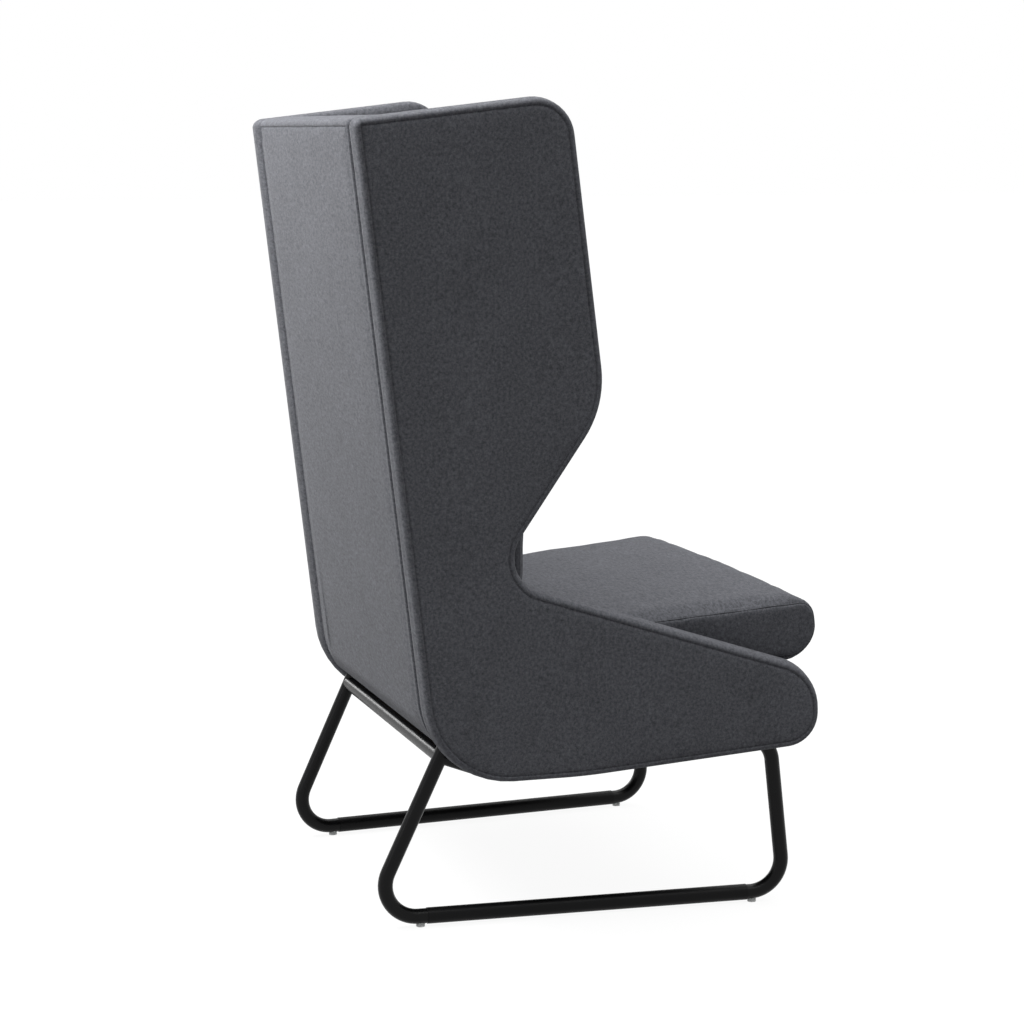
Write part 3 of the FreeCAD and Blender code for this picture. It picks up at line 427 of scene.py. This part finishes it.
# %% Outer back
BACK_CORNER = Matrix.Translation((0, PANEL_REAR_Y - HEEL_FORWARD, HEEL_HEIGHT))
BACK_PLACE = BACK_CORNER @ Matrix.Rotation(-RECLINE, 4, "X")
SLOPE = (PANEL_HEIGHT - HEEL_HEIGHT) / math.cos(RECLINE)
BACK_FRONT, BACK_REAR = -68 * MM, -1.5 * MM
BACK_FOOT, BACK_HEAD, BACK_RADIUS = 50 * MM, SLOPE + 0.5 * MM, 9 * MM
BACK_HALF_WIDTH, BACK_CLEAR, BACK_PROUD = 290 * MM, 1.6 * MM, 2.4 * MM
BEND_START = 114 * MM
SEAM_FOOT, SEAM_DEPTH, FLAT_DEPTH = SLOPE - 30 * MM, 2 * MM, 0.3 * MM


def heel_bend(up):
    """How far the rear face bends forward at its foot, along the panels' rounded heels."""
    below = max(0.0, BEND_START - up)
    return HEEL_RADIUS - math.sqrt(HEEL_RADIUS ** 2 - below ** 2)


def back_half_width(up, depth_y, clear):
    """Half the width between the panels at a height along the back."""
    return side_reach((BACK_PLACE @ Vector((0, depth_y, up))).y, clear)


def on_back(across, up, depth):
    """Place on the back; it widens with the panels' toe, and only its top edge has a seam."""
    if up < SEAM_FOOT and 0 < depth < SEAM_DEPTH:
        depth = FLAT_DEPTH
    bend = heel_bend(up)
    depth = bend + depth * (1 - bend / (BACK_REAR - BACK_FRONT))
    widen = 1 + math.tan(TOE) * depth / BACK_HALF_WIDTH
    return BACK_PLACE @ Vector((across * widen, BACK_REAR - depth, up))


REAR_FACE, FRONT_FACE = (9.5, 10, 1.2, 1.8, 28), (12, 14, 0, 1, 28)
back_ends = (BACK_FOOT, BACK_HEAD)
back_halves = [back_half_width(up, BACK_REAR, BACK_CLEAR) for up in back_ends]
back_rings = edge_rings(BACK_REAR - BACK_FRONT, REAR_FACE, FRONT_FACE, BACK_PROUD)
outer_back = ringed_form("padded_outer_back", four_corners(back_halves, back_ends, BACK_RADIUS), back_rings, on_back)
keep(outer_back, "back_cover", fill=0.95)
print(outer_back.name, len(outer_back.data.vertices), "points")

# %% [markdown]
# ## Cushions
# A cushion is foam in a sewn cover: flat at the sides that lean on the panels, slightly domed above, with a seam
# round each side. Each one starts as its plain solid, a little smaller, gets an even mesh and is blown up with cloth
# simulation, because that gives a swell that no bevel gives.

# %% Even mesh
def apply_modifiers(piece):
    """Replaces the piece's mesh with its evaluated one and drops the modifiers."""
    graph = bpy.context.evaluated_depsgraph_get()
    result = bpy.data.meshes.new_from_object(piece.evaluated_get(graph))
    piece.modifiers.clear()
    old = piece.data
    piece.data = result
    bpy.data.meshes.remove(old)


def evenly_meshed(name, node, voxel, shrink):
    """Copy of a plain solid with an even mesh, a little smaller."""
    data = NODES[node].data.copy()
    piece = bpy.data.objects.new(name, data)
    bpy.context.scene.collection.objects.link(piece)
    remesh = piece.modifiers.new("even", "REMESH")
    remesh.mode = "VOXEL"
    remesh.voxel_size = voxel
    apply_modifiers(piece)
    normals = [vertex.normal.copy() for vertex in piece.data.vertices]
    for vertex, normal in zip(piece.data.vertices, normals):
        vertex.co -= normal * shrink * (1 - abs(normal.x))
    return piece


def subdivided(piece):
    smooth = piece.modifiers.new("finer", "SUBSURF")
    smooth.levels = 1
    smooth.render_levels = 1
    apply_modifiers(piece)
    piece.data.shade_smooth()


print("mesh tools ready")

# %% [markdown]
# ### Cloth under pressure
# The cover is simulated as cloth with air inside. The swell of each point is then averaged with its neighbours and
# laid along the plain solid's normals, because the raw cloth crumples at the edges.

# %% Cloth
LAST_FRAME, EVEN_ROUNDS = 20, 14


def evened(amounts, edges, rounds):
    """Amounts at the points of a mesh, averaged with their neighbours."""
    links = [[] for _ in amounts]
    for first, second in edges:
        links[first].append(second)
        links[second].append(first)
    for _ in range(rounds):
        amounts = [(amount + sum(amounts[i] for i in link) / len(link)) / 2
                   for amount, link in zip(amounts, links)]
    return amounts


def inflated(piece, pressure, limit, shrink):
    """Blows the piece up as cloth; points keep their evened swell, except at the flat sides."""
    start = [(vertex.co.copy(), vertex.normal.copy()) for vertex in piece.data.vertices]
    cloth = piece.modifiers.new("cloth", "CLOTH")
    cloth.settings.quality = 4
    cloth.settings.mass = 0.35
    cloth.settings.tension_stiffness = 25
    cloth.settings.compression_stiffness = 25
    cloth.settings.bending_stiffness = 4
    cloth.settings.use_pressure = True
    cloth.settings.uniform_pressure_force = pressure
    cloth.settings.effector_weights.gravity = 0
    cloth.collision_settings.use_collision = False
    cloth.collision_settings.use_self_collision = False
    cloth.point_cache.frame_start = 1
    cloth.point_cache.frame_end = LAST_FRAME
    for step in range(1, LAST_FRAME + 1):
        bpy.context.scene.frame_set(step)
    apply_modifiers(piece)
    bpy.context.scene.frame_set(1)
    swell = [max(-limit, min(limit, (vertex.co - origin).dot(normal)))
             for vertex, (origin, normal) in zip(piece.data.vertices, start)]
    swell = evened(swell, [tuple(edge.vertices) for edge in piece.data.edges], EVEN_ROUNDS)
    middle = sum(swell) / len(swell)
    for vertex, (origin, normal), amount in zip(piece.data.vertices, start, swell):
        vertex.co = origin + normal * (amount - middle + shrink) * (1 - abs(normal.x))


print("cloth of", LAST_FRAME, "frames")

# %% [markdown]
# ### Room and seams
# The cushion may not pass the panels, its board or the other cushion, so points beyond those planes go back onto
# them. A seam is a shallow groove at a small distance from each panel; a thin dark cord in it is painted shade.

# %% Room and seams
def side_distance(point, clear):
    """Distance of a point inside the plane that runs along a panel with a clearance."""
    return (side_reach(point.y, clear) - abs(point.x)) * math.cos(TOE)


def held_between(piece, clear, planes):
    """Pushes points back inside the panels and behind the planes (origin, outward normal)."""
    for vertex in piece.data.vertices:
        for origin, normal in planes:
            over = (vertex.co - origin).dot(normal)
            if over > 0:
                vertex.co -= normal * over
        over = -side_distance(vertex.co, clear)
        if over > 0:
            vertex.co.x -= math.copysign(over / math.cos(TOE), vertex.co.x)


def seamed(piece, clear, width, depth):
    """Presses a seam in along both sides, at a distance from the panels."""
    normals = [vertex.normal.copy() for vertex in piece.data.vertices]
    for vertex, normal in zip(piece.data.vertices, normals):
        off = side_distance(vertex.co, clear) / width
        if abs(off) < 3:
            vertex.co -= normal * depth * math.exp(-off * off)


SEAM_SHADE_RADIUS = 0.75 * MM


def painted_seam_shade_line(name, piece, side, clear):
    """Thin dark cord where a plane beside a panel cuts the cushion: painted shade of the seam groove."""
    mesh = bmesh.new()
    mesh.from_mesh(piece.data)
    along = Vector((side * math.cos(TOE), math.sin(TOE), 0))
    origin = Vector((side * side_reach(0.0, clear), 0, 0))
    cut = bmesh.ops.bisect_plane(mesh, geom=mesh.verts[:] + mesh.edges[:] + mesh.faces[:],
                                 plane_co=origin, plane_no=along)["geom_cut"]
    links = {}
    for item in cut:
        if isinstance(item, bmesh.types.BMEdge):
            first, second = item.verts
            links.setdefault(first, []).append(second)
            links.setdefault(second, []).append(first)
    point = max(links, key=lambda vert: vert.co.z)
    loop, seen = [point.co.copy()], {point}
    while True:
        following = [vert for vert in links[point] if vert not in seen]
        if not following:
            break
        point = following[0]
        seen.add(point)
        loop.append(point.co.copy())
    mesh.free()
    curve = bpy.data.curves.new(name, "CURVE")
    curve.dimensions = "3D"
    curve.bevel_depth = SEAM_SHADE_RADIUS
    curve.bevel_resolution = 1
    spline = curve.splines.new("POLY")
    spline.use_cyclic_u = True
    spline.points.add(len(loop) - 1)
    for target, place in zip(spline.points, loop):
        target.co = (*place, 1)
    drawn = bpy.data.objects.new(name, curve)
    bpy.context.scene.collection.objects.link(drawn)
    data = bpy.data.meshes.new_from_object(drawn.evaluated_get(bpy.context.evaluated_depsgraph_get()))
    bpy.data.objects.remove(drawn)
    data.shade_smooth()
    shade_cord = bpy.data.objects.new(name, data)
    bpy.context.scene.collection.objects.link(shade_cord)
    # The cord's darker felt paints the shade of the seam groove.
    shade_cord.data.materials.clear()
    shade_cord.data.materials.append(SEAM_SHADE_FELT)
    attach(shade_cord, "root")


print("seam thread:", 2 * SEAM_SHADE_RADIUS / MM, "mm")

# %% [markdown]
# ### One cushion
# The steps run in this order: mesh, cloth, room, finer mesh, seams, room once more, cords of painted seam shade.

# %% One cushion
SEAM_WIDTH, SEAM_GROOVE = 2 * MM, 1.6 * MM


def cushion(name, node, voxel, shrink, pressure, limit, planes, clear=0.8 * MM, seam=4.5 * MM):
    piece = evenly_meshed(name, node, voxel, shrink)
    inflated(piece, pressure, limit, shrink)
    held_between(piece, clear, planes)
    subdivided(piece)
    seamed(piece, seam, SEAM_WIDTH, SEAM_GROOVE)
    held_between(piece, clear, planes)
    keep(piece, node, fill=0.85)
    for side_name, side in SIDES:
        painted_seam_shade_line(f"{name}_{side_name}_seam", piece, side, seam)
    return piece


print("seam groove:", SEAM_GROOVE / MM, "mm deep")

# %% [markdown]
# ### Seat cushion and backrest
# The seat cushion rests on its board and stands against the backrest, which leans on a board of its own. Both are
# held 0.4 mm off those planes, so that felt and board never share a surface.

# %% Cushions
SEAT_PLACE = Matrix.Translation((0, SLED_REAR_Y - 190 * MM, 221 * MM)) @ Matrix.Rotation(-SEAT_ANGLE, 4, "X")
TUBE_RADIUS, TAB_THICKNESS, RAIL_HEIGHT, BOARD_THICKNESS = 11 * MM, 3 * MM, 78 * MM, 18 * MM
BOARD_TOP = TUBE_RADIUS + TAB_THICKNESS + RAIL_HEIGHT + BOARD_THICKNESS
BACKREST_BOARD = 9 * MM
BACKREST_FRONT_Y = SLED_REAR_Y - 233 * MM
REST_GAP = 0.4 * MM
seat_rest = (SEAT_PLACE @ Vector((0, 0, BOARD_TOP + REST_GAP)), SEAT_PLACE.to_3x3() @ Vector((0, 0, -1)))
seat_back_stop = (Vector((0, BACKREST_FRONT_Y - REST_GAP, 0)), Vector((0, 1, 0)))
back_rest = (BACK_PLACE @ Vector((0, BACK_FRONT - BACKREST_BOARD - REST_GAP, 0)),
             BACK_PLACE.to_3x3() @ Vector((0, 1, 0)))
lumbar_stop = (Vector((0, BACKREST_FRONT_Y, 0)), Vector((0, -1, 0)))

seat_cushion = cushion("felt_seat_cushion", "seat_cushion", voxel=5 * MM, shrink=4 * MM, pressure=4.0,
                       limit=6 * MM, planes=[seat_rest, seat_back_stop])
back_cushion = cushion("felt_backrest_cushion", "backrest_cushion", voxel=6 * MM, shrink=5 * MM, pressure=4.0,
                       limit=8 * MM, planes=[back_rest, lumbar_stop, seat_rest])
for piece in (seat_cushion, back_cushion):
    print(piece.name, len(piece.data.vertices), "points")

# %% [markdown]
# ## Apron
# A thin padded strip covers the front of the timber frame below the seat cushion. Its back lies flat on the wood, so
# only its front edge is rolled, and a few rings are enough.

# %% Apron
APRON_FRONT, APRON_MIDDLE = -438 * MM, -434 * MM


def on_apron(across, up, depth):
    return SEAT_PLACE @ Vector((across, APRON_FRONT + depth, up))


apron_half = side_reach((SEAT_PLACE @ Vector((0, APRON_MIDDLE, 50 * MM))).y, 0.7 * MM)
apron_corners = four_corners((apron_half, apron_half), (14 * MM, BOARD_TOP), 3 * MM)
apron_rings = [(inset * MM, depth * MM)
               for inset, depth in ((6, 0), (3.5, 0.1), (1.6, 0.8), (0.5, 2.2), (0, 4), (0, 8))]
apron = ringed_form("felt_apron", apron_corners, apron_rings, on_apron)
keep(apron, "front_apron", fill=0.6)
print(apron.name, len(apron.data.vertices), "points")

# %% [markdown]
# ## Wraps of the boards
# No bare wood shows on a finished chair. The felt of the backrest is wrapped over its board's top edge, and a strip of
# felt covers the seat board where the cushion's round nose leaves it open. Behind the timber frame the black lining
# is drawn up to the back's foot. All three are thin closed forms, so that they keep a thickness.

# %% Wraps
WRAP_REAR, DECK_RISE, LINING_REAR = -67.6 * MM, 0.35 * MM, 41.3 * MM
THIN_SIDES = 1 * MM


def on_wrap(across, up, depth):
    return BACK_PLACE @ Vector((across, WRAP_REAR - depth, up))


def on_deck(across, along, depth):
    return SEAT_PLACE @ Vector((across, along, BOARD_TOP + DECK_RISE - depth))


def on_lining(across, up, depth):
    return SEAT_PLACE @ Vector((across, LINING_REAR - depth, up))


wrap_ends = (850 * MM, 898.6 * MM)
wrap_halves = [back_half_width(up, -78 * MM, THIN_SIDES) - 3 * MM for up in wrap_ends]
wrap_rings = [(2 * MM, 0), (0, 1.5 * MM), (0, 10 * MM), (2.4 * MM, 12 * MM)]
board_wrap = ringed_form("felt_backrest_board_wrap", four_corners(wrap_halves, wrap_ends, 3 * MM), wrap_rings,
                         on_wrap)
deck_ends = (-436 * MM, -330 * MM)
deck_halves = [side_reach((SEAT_PLACE @ Vector((0, along, BOARD_TOP))).y, THIN_SIDES) for along in deck_ends]
deck = ringed_form("felt_seat_deck_strip", four_corners(deck_halves, deck_ends, 2 * MM),
                   [(0, 0), (0, 1.2 * MM)], on_deck)
lining_half = side_reach(on_lining(0, 0, 0).y, 2 * MM)
lining_corners = four_corners((lining_half, lining_half), (14.5 * MM, 60.5 * MM), 1.5 * MM)
lining = ringed_form("lining_rear_strip", lining_corners, [(0, 0), (0, 1 * MM)], on_lining)
for piece, finish in ((board_wrap, "felt"), (deck, "felt"), (lining, "lining")):
    piece.data.materials.append(FINISHES[finish])
    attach(piece, "root")
    print(piece.name, len(piece.data.vertices), "points")

# %% [markdown]
# ## Studio
# The photo's ground is plain white with a faint shadow. The floor and the world look white only where the camera or a
# reflection meets them. For the light on the chair both are grey, so the felt keeps its own tone.

# %% Floor and surround
def seen_directly(tree):
    """1 for what the camera sees straight on, in a reflection or through clear plastic."""
    path = add(tree, "ShaderNodeLightPath")
    seen = path.outputs["Is Camera Ray"]
    for ray in ("Is Glossy Ray", "Is Transmission Ray"):
        seen = add(tree, "ShaderNodeMath", {0: seen, 1: path.outputs[ray]}, operation="MAXIMUM").outputs["Value"]
    return seen


def floor_material():
    material, tree, output, _ = new_material("studio_floor", "#f2f2f2")
    bounce = add(tree, "ShaderNodeBsdfDiffuse", {"Color": (0.26, 0.26, 0.26, 1)})
    shown = add(tree, "ShaderNodeBsdfDiffuse", {"Color": (0.11, 0.11, 0.11, 1)})
    glow = add(tree, "ShaderNodeEmission", {"Color": (1, 1, 1, 1), "Strength": 0.93})
    bright = add(tree, "ShaderNodeAddShader", {0: shown.outputs["BSDF"], 1: glow.outputs["Emission"]})
    mix = add(tree, "ShaderNodeMixShader", {0: seen_directly(tree), 1: bounce.outputs["BSDF"],
                                            2: bright.outputs["Shader"]})
    tree.links.new(mix.outputs["Shader"], output.inputs["Surface"])
    return material


floor_mesh = bpy.data.meshes.new("studio_floor")
half_floor = 40.0
floor_mesh.from_pydata([(x * half_floor, y * half_floor, 0) for x, y in ((-1, -1), (1, -1), (1, 1), (-1, 1))],
                       [], [(0, 1, 2, 3)])
floor = bpy.data.objects.new("studio_floor", floor_mesh)
floor_mesh.materials.append(floor_material())
bpy.context.scene.collection.objects.link(floor)

world = bpy.data.worlds.new("studio")
bpy.context.scene.world = world
world.use_nodes = True
world_tree = world.node_tree
world_tree.nodes.clear()
sky = add(world_tree, "ShaderNodeBackground", {"Color": (0.98, 0.99, 1.0, 1), "Strength": 0.24})
white = add(world_tree, "ShaderNodeBackground", {"Color": (1, 1, 1, 1), "Strength": 1.0})
surround = add(world_tree, "ShaderNodeMixShader", {0: seen_directly(world_tree), 1: sky.outputs["Background"],
                                                   2: white.outputs["Background"]})
add(world_tree, "ShaderNodeOutputWorld", {"Surface": surround.outputs["Shader"]})
print("floor and surround ready")


# %% [markdown]
# ## Lights and camera
# Broad soft lights keep the felt's edges gentle, as in the photo: one above, one behind the back, and two weak ones
# that give the tubes their highlights. The camera's place and lens were worked out from the straight runs of the
# sled and the edges of the panels.

# %% Lights and camera
FOCAL_PIXELS, IMAGE_PIXELS = 2605.15, 1024


def new_light(name, kind, place, target, energy, **settings):
    data = bpy.data.lights.new(name, kind)
    data.energy = energy
    for key, amount in settings.items():
        setattr(data, key, amount)
    lamp = bpy.data.objects.new(name, data)
    lamp.location = place
    lamp.rotation_euler = (Vector(target) - Vector(place)).to_track_quat("-Z", "Y").to_euler()
    bpy.context.scene.collection.objects.link(lamp)


new_light("overhead", "SUN", (0.3, -0.5, 4), (0, 0, 0), 2.75, angle=math.radians(70))
new_light("behind", "AREA", (0.25, 1.25, 2.1), (0, 0.35, 0.8), 36, shape="SQUARE", size=0.8)
new_light("far_side", "AREA", (3.0, 0.86, 1.15), (0, 0.2, 0.3), 13, shape="SQUARE", size=0.8)
new_light("low_behind", "AREA", (-0.6, 3.2, 1.2), (0, 0.2, 0.3), 4, shape="RECTANGLE", size=0.6, size_y=1.2)

camera_data = bpy.data.cameras.new("photo_camera")
camera_data.sensor_width = 36
camera_data.lens = FOCAL_PIXELS / IMAGE_PIXELS * camera_data.sensor_width
camera_data.clip_end = 200
camera = bpy.data.objects.new("photo_camera", camera_data)
camera.location = (-3.7871, 1.2434, 1.1420)
camera.rotation_euler = (math.radians(90 - 8.3), 0, math.radians(252.135))
bpy.context.scene.collection.objects.link(camera)
bpy.context.scene.camera = camera
bpy.context.scene.view_settings.view_transform = "Standard"
print("lens", round(camera_data.lens, 2))
